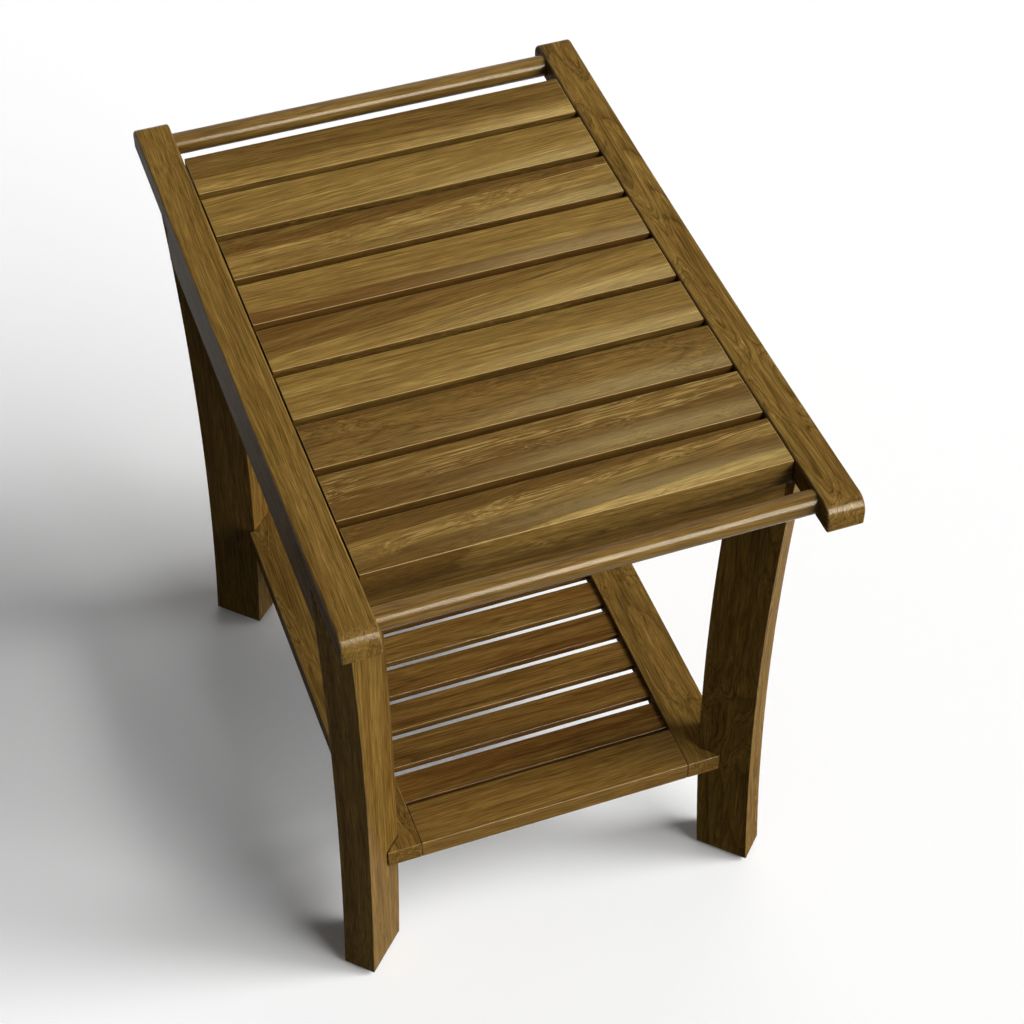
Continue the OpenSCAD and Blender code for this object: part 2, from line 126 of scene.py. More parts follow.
class BenchColours(bpy.types.PropertyGroup):
    """Colours of the materials"""
    gold: tint("Gold", "Pale golden wood between the streaks", "#846832")
    brown: tint("Brown", "Brown heartwood", "#5c441c")
    red: tint("Red brown", "Warmer boards, as on the shelf", "#62401b")
    dark: tint("Dark lines", "Early wood at the start of each growth ring", "#33230f")
    cream: tint("Cream", "Pale flecks across the grain", "#a88c52")
    # Pale wear on the slats' top arrises; this colour also paints a highlight along them
    wear_and_highlight: tint("Worn edge", "Arrises of the seat slats, worn pale", "#c8ac6c")
    sawn: tint("Sawn teak", "Hidden supports, sawn and only lightly oiled", "#7a5a32")
    beech: tint("Beech", "Dowels and pins", "#c4a67a")
    steel: tint("Steel", "Stainless screws, bolts, nuts and washers", "#b9bcbf")
    glide: tint("Glide", "Black moulded glides", "#262626")
    floor: tint("Floor", "Studio floor where it is seen", "#ffffff")
    bounce: tint("Floor bounce", "Studio floor as the bench's faces get light from it", "#585856")


# ------------------------------------------------------------------ materials

def add(tree, kind, *inputs, **settings):
    """Adds a node with its settings and returns its outputs. An input is a value or another
    node's output. Inputs come in the order of the sockets, or as {socket: input}."""
    node = tree.nodes.new(kind)
    for name, value in settings.items():
        setattr(node, name, value)
    for order, given in enumerate(inputs):
        for socket, value in (given if isinstance(given, dict) else {order: given}).items():
            if isinstance(value, bpy.types.NodeSocket):
                tree.links.new(value, node.inputs[socket])
            else:
                node.inputs[socket].default_value = value
    return node.outputs


def pattern(tree, place, along, across, detail=2.0, roughness=0.5, distortion=0.0):
    """Noise from 0 to 1, in grains that are this many millimetres long and wide."""
    grain = (1 / along, 1 / across, 1 / across)
    spot = add(tree, "ShaderNodeVectorMath", place, grain, operation="MULTIPLY")[0]
    return add(tree, "ShaderNodeTexNoise", {"Vector": spot, "Scale": 1.0, "Detail": detail,
                                            "Roughness": roughness, "Distortion": distortion})


def wander(tree, place, along, across, reach, detail=2.0):
    """place pushed about by noise of that grain, up to about reach millimetres."""
    noise = pattern(tree, place, along, across, detail)["Color"]
    centred = add(tree, "ShaderNodeVectorMath", noise, (0.5, 0.5, 0.5), operation="SUBTRACT")[0]
    push = add(tree, "ShaderNodeVectorMath", centred, (0, 2 * reach, 2 * reach),
               operation="MULTIPLY")[0]
    return add(tree, "ShaderNodeVectorMath", place, push, operation="ADD")[0]


def weighed(tree, start, *terms):
    """start plus each value times its weight, for values about a half."""
    total = start
    for value, weight in terms:
        centred = add(tree, "ShaderNodeMath", value, 0.5, operation="SUBTRACT")[0]
        total = add(tree, "ShaderNodeMath", centred, weight, total, operation="MULTIPLY_ADD")[0]
    return total


def overlaid(tree, ground, *coats):
    """The ground's colour with each (share, colour) laid over it in turn."""
    for share, colour in coats:
        ground = add(tree, "ShaderNodeMix", {"Factor": share, "A": ground, "B": colour},
                     data_type="RGBA")["Result"]
    return ground


def millimetres(tree):
    """A solid's own coordinates in millimetres."""
    place = add(tree, "ShaderNodeTexCoord")["Object"]
    return add(tree, "ShaderNodeMapping", {"Vector": place, "Scale": (MM, MM, MM)})[0]


def new_material(name):
    """A new, empty material and its node tree."""
    material = bpy.data.materials.new(name)
    material.use_nodes = True
    material.node_tree.nodes.clear()
    return material, material.node_tree


def surface(tree, inputs):
    """Ends a material in a principled surface with those inputs."""
    shader = add(tree, "ShaderNodeBsdfPrincipled", inputs)[0]
    add(tree, "ShaderNodeOutputMaterial", shader)


# Growth rings of plantation teak are 2 to 5 mm wide
RING = 3.4
# How a ring darkens from its start to its end: (share of its width, darkness)
RING_SHADES = ((0.0, 1.0), (0.10, 0.75), (0.32, 0.22), (0.8, 0.0), (1.0, 0.3))
# Widths of wood in millimetres over which fast years and slow ones, and pale spells and dark
# ones, take turns
FAST_YEARS = 9.0
SPELL = 14.0
# Grains of the figure in millimetres, along the wood and across it
KNOT = (75, 18)
SLOW_BEND = (190, 34)
CLOSE_BEND = (50, 6)
CLOUD = (220, 15)
STRAND = (120, 3.0)
CURL = (50, 1.6)
CURL_PATCH = (80, 12)
SEAM_WAVER = (45, 9)
# A fibre is 0.02 mm wide; bundles of them are drawn 0.75 mm wide so that they show
FIBRE = (30, 0.75)
# Vessels are 0.3 mm wide; they are drawn 0.5 mm wide so that they show
VESSEL = (6, 0.5)


def teak_figure(tree, place, facts):
    """The growth of teak, from a place in the log in millimetres from its pith and a board's own
    facts: x is its tone, which also carries painted shade on the slats' faces in their gaps, y
    its warmth and z how much cream fleck it has."""
    # Grain that winds past knots meets a face in ovals, and runs straight between them
    wild = add(tree, "ShaderNodeAttribute", attribute_name="wild")["Fac"]
    swell = pattern(tree, place, *KNOT, detail=0.0)[0]
    knotty = add(tree, "ShaderNodeMapRange", swell, 0.46, 0.74,
                 interpolation_type="SMOOTHSTEP")[0]
    bend = add(tree, "ShaderNodeMath", knotty, wild, operation="MULTIPLY")[0]
    wound = add(tree, "ShaderNodeVectorMath", (0, 2.0, 10.0), {"Scale": bend},
                operation="SCALE")[0]
    wound = add(tree, "ShaderNodeVectorMath", place, wound, operation="ADD")[0]
    drift = wander(tree, wound, *SLOW_BEND, reach=4.0)
    close = wander(tree, drift, *CLOSE_BEND, reach=0.3)
    # The rings keep to smooth curves
    smooth = wander(tree, wound, *SLOW_BEND, reach=4.0, detail=0.0)
    across = add(tree, "ShaderNodeVectorMath", smooth, (0, 1, 1), operation="MULTIPLY")[0]
    radius = add(tree, "ShaderNodeVectorMath", across, operation="LENGTH")["Value"]
    # Some years grow fast and some slowly, which shifts the rings by up to three of them
    years = add(tree, "ShaderNodeMath", radius, FAST_YEARS, operation="DIVIDE")[0]
    years = add(tree, "ShaderNodeTexNoise", {"W": years, "Scale": 1.0, "Detail": 1.0},
                noise_dimensions="1D")[0]
    even = add(tree, "ShaderNodeMath", radius, RING, operation="DIVIDE")[0]
    grown = add(tree, "ShaderNodeMath", years, 3.0, even, operation="MULTIPLY_ADD")[0]
    ring = add(tree, "ShaderNodeMath", grown, operation="FRACT")[0]
    ring_line = add(tree, "ShaderNodeValToRGB", ring)[0]
    shades = ring_line.node.color_ramp.elements
    while len(shades) < len(RING_SHADES):
        shades.new(0.5)
    for shade, (share, darkness) in zip(shades, RING_SHADES):
        shade.position = share
        shade.color = (darkness, darkness, darkness, 1)
    # Whole spells of years are paler or darker, and they make the broad streaks
    spells = add(tree, "ShaderNodeMath", radius, SPELL, operation="DIVIDE")[0]
    spells = add(tree, "ShaderNodeTexNoise", {"W": spells, "Scale": 1.0, "Detail": 2.0,
                                              "Roughness": 0.6}, noise_dimensions="1D")[0]
    broad = weighed(tree, 0.5, (spells, 0.5), (pattern(tree, drift, *CLOUD)[0], 0.5))
    strand = pattern(tree, close, *STRAND, detail=3.0, roughness=0.6)[0]
    fibre = pattern(tree, close, *FIBRE, roughness=0.65)[0]
    # Vessels are widest and most open where a ring starts
    vessel = pattern(tree, close, *VESSEL, detail=1.0)[0]
    vessel = add(tree, "ShaderNodeMapRange", vessel, 0.60, 0.70)[0]
    early = add(tree, "ShaderNodeMath", ring_line, 0.6, 0.4, operation="MULTIPLY_ADD")[0]
    pores = add(tree, "ShaderNodeMath", vessel, early, operation="MULTIPLY")[0]
    # Cream fleck in short streaks, where the blade crosses interlocked grain
    tone, warmth, flecked = add(tree, "ShaderNodeSeparateXYZ", facts)
    curl = pattern(tree, close, *CURL, detail=3.0, roughness=0.55, distortion=1.3)[0]
    curl = add(tree, "ShaderNodeMapRange", curl, 0.53, 0.61)[0]
    patch = add(tree, "ShaderNodeMapRange", pattern(tree, place, *CURL_PATCH)[0], 0.36, 0.54)[0]
    patch = add(tree, "ShaderNodeMath", patch, flecked, operation="MULTIPLY")[0]
    fleck = add(tree, "ShaderNodeMath", curl, patch, operation="MULTIPLY")[0]
    return {"ring": ring_line, "broad": broad, "fibre": fibre, "strand": strand,
            "pores": pores, "fleck": fleck, "wild": wild, "tone": tone, "warmth": warmth}


def past_seams(tree, place):
    """How far a place lies past each of a board's three seams, from 0 to 1. A seam is where
    one spell of growth meets the next, and it runs straight over the board's face."""
    gaps = add(tree, "ShaderNodeAttribute", attribute_name="seam_gaps")["Vector"]
    waver = pattern(tree, place, *SEAM_WAVER, roughness=0.6)[0]
    shares = []
    for gap in add(tree, "ShaderNodeSeparateXYZ", gaps):
        far = weighed(tree, gap, (waver, 5.0))
        # The wood changes within a millimetre of the seam
        shares.append(add(tree, "ShaderNodeMapRange", far, -0.9, 0.9,
                          interpolation_type="SMOOTHSTEP")[0])
    return shares


def oiled_teak():
    """Teak, planed, sanded fine and oiled: the eye gets golden brown wood in soft streaks, fine
    fibre and open pores under a thin satin film, which shines where it is rubbed."""
    colours = bpy.context.scene.bench_colours
    material, tree = new_material("Teak, sanded and oiled")
    place, facts, steps = (add(tree, "ShaderNodeAttribute", attribute_name=name)["Vector"]
                           for name in ("log", "board", "seam_steps"))
    rubbed, rings, wear_and_highlight = (add(tree, "ShaderNodeAttribute", attribute_name=name)["Fac"]
                           for name in ("rubbed", "rings", "wear_and_highlight"))
    wood = teak_figure(tree, place, facts)
    shares = past_seams(tree, place)
    # How light the wood is: 0 is brown heartwood, 1 is gold and more is cream
    light = add(tree, "ShaderNodeMath", wood["tone"], 0.5, 0.5, operation="MULTIPLY_ADD")[0]
    for share, step in zip(shares, add(tree, "ShaderNodeSeparateXYZ", steps)):
        light = add(tree, "ShaderNodeMath", share, step, light, operation="MULTIPLY_ADD")[0]
    lively = add(tree, "ShaderNodeMath", wood["wild"], 0.6, 0.7, operation="MULTIPLY_ADD")[0]
    light = weighed(tree, light, (wood["broad"], 1.9), (wood["strand"], lively),
                    (wood["fibre"], 0.5))
    gold = add(tree, "ShaderNodeMapRange", light, 0.0, 1.0)[0]
    pale = add(tree, "ShaderNodeMapRange", light, 0.9, 1.6)[0]
    ring = add(tree, "ShaderNodeMath", wood["ring"], rings, operation="MULTIPLY")[0]
    base = overlaid(tree, colours.brown, (wood["warmth"], colours.red), (gold, colours.gold),
                    (pale, colours.cream), (ring, colours.dark))
    streak = weighed(tree, 1.0, (wood["fibre"], 1.6), (wood["strand"], 0.5))
    base = add(tree, "ShaderNodeVectorMath", base, {"Scale": streak}, operation="SCALE")[0]
    pores = add(tree, "ShaderNodeMath", wood["pores"], 0.36, operation="MULTIPLY")[0]
    # The fleck keeps between the first seam and the second
    between = add(tree, "ShaderNodeMath", *shares[:2], operation="SUBTRACT")[0]
    fleck = add(tree, "ShaderNodeMath", wood["fleck"], between, operation="MULTIPLY")[0]
    fleck = add(tree, "ShaderNodeMath", fleck, 0.75, operation="MULTIPLY")[0]
    # The slats' arrises are pale with wear, and the pale colour also paints a highlight along
    # their tops
    base = overlaid(tree, base, (pores, colours.dark), (fleck, colours.cream),
                    (wear_and_highlight, colours.wear_and_highlight))
    height = weighed(tree, 0.5, (wood["fibre"], 0.4), (wood["pores"], -0.8),
                     (wood["ring"], -0.2))
    bump = add(tree, "ShaderNodeBump", {"Strength": 0.3, "Distance": 0.00008,
                                        "Height": height})[0]
    # Oil soaks into flat faces and leaves little film there
    film = add(tree, "ShaderNodeMath", rubbed, 0.10, 0.0007, operation="MULTIPLY_ADD")[0]
    rough = weighed(tree, 0.24, (wood["fibre"], 0.12), (wood["pores"], 0.12))
    surface(tree, {"Base Color": base, "Roughness": rough, "Normal": bump, "IOR": 1.48,
                   "Specular IOR Level": film})
    return material


def sawn_teak():
    """Teak, sawn and only wiped with oil, for what the seat hides: duller, with saw marks."""
    colours = bpy.context.scene.bench_colours
    material, tree = new_material("Teak, sawn")
    # The cleats run along Y, and the middle of the log lies beside and below the bench
    place = add(tree, "ShaderNodeMapping",
                {"Vector": millimetres(tree), "Location": (60, 0, 38),
                 "Rotation": (0, 0, math.pi / 2)})[0]
    facts = add(tree, "ShaderNodeCombineXYZ", 0.1, 0.3, 0.0)[0]
    wood = teak_figure(tree, place, facts)
    ring = add(tree, "ShaderNodeMath", wood["ring"], 0.4, operation="MULTIPLY")[0]
    base = overlaid(tree, colours.brown, (wood["broad"], colours.sawn), (ring, colours.dark))
    # Saw teeth leave a line about every 1.5 mm
    teeth = add(tree, "ShaderNodeTexWave", {"Vector": place, "Scale": 0.21, "Distortion": 1.5,
                                            "Detail": 2.0}, bands_direction="X")["Fac"]
    height = weighed(tree, 0.5, (teeth, 0.5), (wood["fibre"], 0.5))
    bump = add(tree, "ShaderNodeBump", {"Strength": 0.5, "Distance": 0.0002,
                                        "Height": height})[0]
    surface(tree, {"Base Color": base, "Normal": bump,
                   "Roughness": weighed(tree, 0.6, (wood["fibre"], 0.2))})
    return material


def turned_beech():
    """Beech dowel rod, fluted and dry: pale, even, with short dark rays."""
    colours = bpy.context.scene.bench_colours
    material, tree = new_material("Beech dowel rod")
    # Rays are up to 2.5 mm high and 0.2 mm wide; they are drawn 0.8 mm wide so that they show
    rays = pattern(tree, millimetres(tree), 0.8, 2.5)[0]
    rays = add(tree, "ShaderNodeMapRange", rays, 0.55, 0.7, 1.0, 0.72)[0]
    base = add(tree, "ShaderNodeVectorMath", colours.beech[:3], {"Scale": rays},
               operation="SCALE")[0]
    bump = add(tree, "ShaderNodeBump", {"Strength": 0.3, "Distance": 0.0001,
                                        "Height": rays})[0]
    surface(tree, {"Base Color": base, "Roughness": 0.6, "Normal": bump})
    return material


def rolled_steel():
    """Stainless steel, thread rolled and tumbled: grey, with a soft uneven shine."""
    colours = bpy.context.scene.bench_colours
    material, tree = new_material("Stainless steel, tumbled")
    # Tumbling leaves blots a little over a millimetre wide
    blot = pattern(tree, millimetres(tree), 1.2, 1.2, 3.0)[0]
    shade = add(tree, "ShaderNodeMath", blot, 0.3, 0.82, operation="MULTIPLY_ADD")[0]
    base = add(tree, "ShaderNodeVectorMath", colours.steel[:3], {"Scale": shade},
               operation="SCALE")[0]
    rough = add(tree, "ShaderNodeMath", blot, 0.25, 0.2, operation="MULTIPLY_ADD")[0]
    surface(tree, {"Base Color": base, "Roughness": rough, "Metallic": 1.0})
    return material


def moulded_glide():
    """Polyethylene, moulded: black, with a fine even spark texture."""
    colours = bpy.context.scene.bench_colours
    material, tree = new_material("Polyethylene, moulded")
    # The texture's grit is finer than 0.1 mm; it is drawn 0.5 mm wide so that it shows
    grit = pattern(tree, millimetres(tree), 0.5, 0.5)[0]
    shade = add(tree, "ShaderNodeMath", grit, 0.4, 0.8, operation="MULTIPLY_ADD")[0]
    base = add(tree, "ShaderNodeVectorMath", colours.glide[:3], {"Scale": shade},
               operation="SCALE")[0]
    bump = add(tree, "ShaderNodeBump", {"Strength": 0.3, "Distance": 0.0001,
                                        "Height": grit})[0]
    surface(tree, {"Base Color": base, "Roughness": 0.48, "Normal": bump})
    return material


MAKERS = {
    "Teak, sanded and oiled": oiled_teak,
    "Teak, sawn": sawn_teak,
    "Beech dowel rod": turned_beech,
    "Stainless steel, tumbled": rolled_steel,
    "Polyethylene, moulded": moulded_glide,
}


def made_of(name):
    """The material of that name, made when it is first asked for."""
    return bpy.data.materials.get(name) or MAKERS[name]()


def finish_nodes(name, *nodes):
    """Gives the frame's own solids their finish."""
    for node in nodes:
        solid = frame["nodes"][node]
        if not solid.material_slots:
            solid.data.materials.append(None)
        for slot in solid.material_slots:
            slot.material = made_of(name)


# ------------------------------------------------------------------ the bench's curves

def spread(first, last, steps):
    """Values from first to last in even steps."""
    return [first + (last - first) * k / steps for k in range(steps + 1)]


def seat_radius():
    """Radius of the dish that the side rails' tops are sawn to."""
    dish = bpy.context.scene.bench_sizes.dish
    return (rail_high.y ** 2 + dish ** 2) / (2 * dish)


def seat_centre():
    """Height of the dish's centre, far above the seat."""
    return rail_high.z - bpy.context.scene.bench_sizes.dish + seat_radius()


def seat_top(y, below=0.0):
    """Height at y of the dish, or of a circle round its centre that lies below it."""
    return seat_centre() - math.sqrt((seat_radius() + below) ** 2 - y ** 2)


def leg_reach(z):
    """How far out a leg's middle lies at a height, from where it stands on the floor."""
    sizes = bpy.context.scene.bench_sizes
    radius = (sizes.leg_waist ** 2 + sizes.leg_bow ** 2) / (2 * sizes.leg_bow)
    return radius - sizes.leg_bow - math.sqrt(radius ** 2 - (z - sizes.leg_waist) ** 2)


def leg_foot(node, out):
    """Where a leg's middle line meets the floor. out is the way in which the leg faces."""
    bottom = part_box(node)[0].z
    # The sole's points lie within a hundredth of a millimetre of its lowest
    sole = [v.co for v in frame["nodes"][node].data.vertices if v.co.z < bottom + 0.01 / MM]
    across = UP.cross(out)
    u = [point.dot(out) for point in sole]
    v = [point.dot(across) for point in sole]
    return out * ((min(u) + max(u)) / 2 - leg_reach(bottom)) + across * (min(v) + max(v)) / 2


# ------------------------------------------------------------------ boards

# Corners of an outline that turn by less than this belong to curves
CURVE_TURN = math.radians(12)


def eased(points, radius, steps=5):
    """An outline, given anticlockwise, with its corners rounded: points with their normals."""
    outline = []
    for i, corner in enumerate(points):
        corner = Vector(corner)
        before = (corner - Vector(points[i - 1])).normalized()
        after = (Vector(points[(i + 1) % len(points)]) - corner).normalized()
        turn = math.atan2(before.x * after.y - before.y * after.x, before.dot(after))
        first = Vector((before.y, -before.x))
        if abs(turn) < CURVE_TURN:
            outline.append((corner, (first + Vector((after.y, -after.x))).normalized()))
            continue
        way = 1 if turn > 0 else -1
        start = corner - before * radius * math.tan(abs(turn) / 2)
        centre = start - first * radius * way
        for angle in spread(0, turn, steps):
            normal = first.copy()
            normal.rotate(Matrix.Rotation(angle, 2))
            outline.append((centre + normal * radius * way, normal))
    return outline


def plate(outline, thick, edge, steps=4):
    """Rings of (place, normal) for a flat piece of that outline with rounded arrises.
    The outline lies in u and v, and w runs through the thickness."""
    rings = []
    turns = spread(0, math.pi / 2, steps)
    for way, order in ((-1, turns), (1, turns[::-1])):
        for t in order:
            inset = edge * (1 - math.sin(t))
            depth = way * (thick / 2 - edge * (1 - math.cos(t)))
            rings.append([((p - n * inset).to_3d() + Vector((0, 0, depth)),
                           n.to_3d() * math.sin(t) + Vector((0, 0, way * math.cos(t))))
                          for p, n in outline])
    return rings


def worked(points, thick, edge):
    """Rings for a board with one radius worked on all its edges. The outline's corners are a
    little rounder than the arrises, so that these never fold over."""
    return plate(eased(points, edge * 1.05), thick, edge)


def box_outline(width, height):
    """A rectangle's corners, anticlockwise from the lower left."""
    return [(-width / 2, -height / 2), (width / 2, -height / 2),
            (width / 2, height / 2), (-width / 2, height / 2)]


def axes_at(origin, u, v, w):
    """The matrix that lays a piece's own u, v and w along those ways at the origin."""
    return Matrix.Translation(origin) @ Matrix((u, v, w)).transposed().to_4x4()


def skin(name, rings, place, fit=None):
    """A closed mesh over the rings, capped at both ends, placed by a matrix. fit may move
    each placed point a little, such as where an end is mitred."""
    turn = place.to_3x3()
    points, normals = [], []
    for ring in rings:
        for point, normal in ring:
            spot = place @ point
            points.append(fit(spot) if fit else spot)
            normals.append((turn @ normal).normalized())
    count = len(rings[0])
    faces = [list(range(count))[::-1]]
    for r in range(len(rings) - 1):
        low, high = r * count, (r + 1) * count
        faces += [[low + i, low + (i + 1) % count, high + (i + 1) % count, high + i]
                  for i in range(count)]
    faces.append(list(range((len(rings) - 1) * count, len(rings) * count)))
    if turn.determinant() < 0:
        faces = [face[::-1] for face in faces]
    mesh = bpy.data.meshes.new(name)
    mesh.from_pydata(points, [], faces)
    mesh.polygons.foreach_set("use_smooth", [True] * len(mesh.polygons))
    mesh.normals_split_custom_set_from_vertices(normals)
    mesh.validate()
    thing = bpy.data.objects.new(name, mesh)
    bpy.context.scene.collection.objects.link(thing)
    return thing


# A seam that no board reaches
FAR_SEAM = (500, 0, 0)
# A point whose normal is within 8 degrees of a face's, by this cosine, counts as flat, so that
# a crowned face does. The arris is full where the cosine is a sixth lower.
FLAT = 0.99
ARRIS_GAIN = 6


def cut_from_log(thing, axes, middle, pith, lean=(0, 0), start=0, tone=0, warmth=0, fleck=0,
                 rings=0.18, wild=0, seams=(), turned=0, wear_and_highlight=0, side_shade=0):
    """Notes on each point of a board where it grew, what wear it has, and where a highlight and
    shade are painted on it. axes are the board's length, width and thickness, and middle is its
    middle. Lengths below are millimetres.
    pith: where the heart of the log lies from the middle, in width and thickness
    lean: how far the grain runs off in width and thickness along the length
    start: where along the log the board was cut
    tone, warmth, fleck: how light it is, how red, and how much cream fleck it has
    rings, wild: how dark the growth rings are, and how much the grain winds
    seams: for each, its place in the width, its slope along the length and how much lighter
        the wood is past it
    turned: how far the faces are rubbed smooth, as arrises always are
    last two: how pale the arrises are, from wear and from a painted highlight along their tops,
    and how much lighter the faces across the width are; below zero that is painted shade"""
    mesh = thing.data
    normals = {loop.vertex_index: mesh.corner_normals[loop.index].vector.copy()
               for loop in mesh.loops}
    lines = (list(seams) + [FAR_SEAM] * 3)[:3]
    notes = {"log": [], "board": [], "seam_gaps": [], "seam_steps": [], "rubbed": [], "wear_and_highlight": [],
             "rings": [rings] * len(mesh.vertices), "wild": [wild] * len(mesh.vertices)}
    for vertex in mesh.vertices:
        here = (vertex.co - middle) * MM
        x, y, z = (here.dot(axis) for axis in axes)
        facing = [abs(normals[vertex.index].dot(axis)) for axis in axes]
        notes["log"] += [x + start, y - pith[0] + lean[0] * x, z - pith[1] + lean[1] * x]
        # Faces across the board's width are painted darker where this is below zero: painted
        # shade, as on the slats' faces in their gaps
        notes["board"] += [tone + side_shade * facing[1] ** 2, warmth, fleck]
        notes["seam_gaps"] += [y - edge - slope * x for edge, slope, step in lines]
        notes["seam_steps"] += [step for edge, slope, step in lines]
        arris = min(1.0, ARRIS_GAIN * max(0.0, FLAT - max(facing)))
        # An arris pale with wear has lost its film; its pale colour is also a painted highlight,
        # palest towards the top
        notes["rubbed"].append(min(1.0, turned + arris * (1 - wear_and_highlight)))
        upward = min(1.0, max(0.0, 0.5 + 2 * (facing[2] - facing[1])))
        notes["wear_and_highlight"].append(wear_and_highlight * arris * upward)
    for name, values in notes.items():
        vector = len(values) > len(mesh.vertices)
        layer = mesh.attributes.new(name, "FLOAT_VECTOR" if vector else "FLOAT", "POINT")
        layer.data.foreach_set("vector" if vector else "value", values)


def dress(thing, node, cut, axes, middle):
    """Gives a board its wood and puts it in the place of the frame's own solid."""
    cut_from_log(thing, axes, middle, **cut)
    thing.data.materials.append(made_of("Teak, sanded and oiled"))
    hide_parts(node)
    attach(thing, "root")


# Where each board was cut from, in the words of cut_from_log
RAIL_CUTS = {
    "left": dict(pith=(60, -22), lean=(0.004, 0.0), start=100, tone=0.0, warmth=0.2,
                 rings=0.35),
    "right": dict(pith=(3, -46), lean=(0.004, 0.03), start=900, tone=0.08, warmth=0.3,
                  rings=0.58, wild=1.0, turned=0.02),
}
HANDLE_CUTS = {
    "front": dict(pith=(20, -30), lean=(0.01, 0.01), start=300, tone=-0.25, warmth=0.3,
                  turned=1),
    "back": dict(pith=(34, -12), lean=(0.0, 0.01), start=1300, tone=-0.3, warmth=0.2,
                 turned=1),
}
SLAT_CUTS = {
    # The first slat's front face gets a little less painted shade than the other slats' faces
    1: dict(pith=(-70, -40), lean=(-0.06, 0.02), start=0, tone=1.2, warmth=0.2, fleck=1.0,
            wild=0.6, side_shade=-1.0,
            seams=[(-2.8, 0.062, 0.4), (11.9, 0.042, -0.5), (-15.7, 0.065, -1.1)]),
    2: dict(pith=(66, -30), lean=(-0.03, 0.02), start=500, tone=-1.05, warmth=0.3, fleck=1.0,
            wild=0.4, seams=[(-1.0, 0.035, 0.25)]),
    3: dict(pith=(10, -60), lean=(0.0, 0.04), start=1100, tone=-0.35, warmth=0.3, rings=0.4,
            wild=0.5, seams=[(19.6, 0.032, -0.6)]),
    4: dict(pith=(90, -10), lean=(-0.02, 0.0), start=1700, tone=0.5, warmth=0.1, fleck=0.1),
    5: dict(pith=(-80, -30), lean=(-0.09, 0.01), start=2300, tone=-0.15, warmth=0.3, fleck=0.1,
            seams=[(-26.5, 0.095, 0.45), (4.0, 0.0905, -0.75), (30.0, 0.16, -0.35)]),
    6: dict(pith=(58, -14), lean=(0.0, 0.0), start=2900, tone=-0.95, warmth=0.5,
            seams=[(-8.7, 0.0, 0.8)]),
    7: dict(pith=(-40, -44), lean=(-0.05, 0.03), start=3500, tone=-0.12, warmth=0.3, fleck=1.0,
            wild=0.4, seams=[(-10.0, 0.052, 0.2), (8.0, 0.036, -0.45)]),
    8: dict(pith=(76, -36), lean=(-0.07, 0.0), start=4100, tone=0.6, warmth=0.1, fleck=0.1),
    9: dict(pith=(44, -20), lean=(0.0, 0.01), start=4700, tone=0.65, warmth=0.1,
            seams=[(-5.1, 0.0, -0.6)]),
}
# Sitting has rubbed the slats a little smoother than the frame and left their arrises pale with
# wear, which also paints a highlight along their tops, and the faces in their gaps get painted
# shade that makes them darker than their tops
SLAT_WEAR_AND_SHADE = dict(turned=0.15, wear_and_highlight=0.7, side_shade=-1.3)
LEG_CUTS = {
    ("front", "left"): dict(pith=(48, 30), lean=(0.01, 0.0), start=200, tone=-0.42,
                            warmth=0.1, turned=0.06),
    ("front", "right"): dict(pith=(4, 40), lean=(0.0, 0.03), start=800, tone=-0.25,
                             warmth=0.2, rings=0.5, wild=0.8),
    ("back", "left"): dict(pith=(6, -52), lean=(0.0, 0.02), start=1400, tone=-0.2,
                           warmth=0.5, turned=0.12),
    ("back", "right"): dict(pith=(-50, 24), lean=(0.01, 0.0), start=2000, tone=-0.1,
                            warmth=0.4, turned=0.06),
}


# ------------------------------------------------------------------ pieces

class BenchOperator:
    """What all the bench's operators share"""
    bl_options = {"REGISTER", "UNDO"}


class BENCH_OT_rails(BenchOperator, bpy.types.Operator):
    """Side rails, sawn to the dish, with a rounded nose at each end"""
    bl_idname = "bench.rails"
    bl_label = "Side rails"

    def execute(self, context):
        sizes = context.scene.bench_sizes
        half = rail_high.y
        nose_y = half - sizes.nose
        nose_z = seat_top(nose_y, sizes.nose)
        # The nose meets the dish where both have the same tangent
        lean = math.asin(nose_y / (seat_radius() + sizes.nose))
        nose = [(nose_y + sizes.nose * math.cos(a), nose_z + sizes.nose * math.sin(a))
                for a in spread(0, math.pi / 2 + lean, 16)]
        # The dish's own points end a little before the nose's
        run = spread(nose_y * 0.98, -nose_y * 0.98, 40)
        top = [(y, seat_top(y)) for y in run]
        foot = [(y, seat_top(y, sizes.board)) for y in run[::-1]]
        end_z = seat_top(half, sizes.board)
        points = foot + [(half, end_z)] + nose + top + [(-y, z) for y, z in nose[::-1]]
        points.append((-half, end_z))
        # The ends' lower corners are eased less than the long edges
        outline = eased(points, sizes.rail_edge * 0.6)
        width = rail_high.x - rail_low.x
        for side in SIDES:
            low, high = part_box("rail_" + side)
            origin = Vector(((low.x + high.x) / 2, 0, 0))
            rail = skin("teak_rail_" + side, plate(outline, width, sizes.rail_edge, 6),
                        axes_at(origin, ALONG_Y, UP, ALONG_X))
            dress(rail, "rail_" + side, RAIL_CUTS[side],
                  (ALONG_Y, ALONG_X, UP), origin + UP * (rail_high.z - sizes.board / 2))
        return {"FINISHED"}


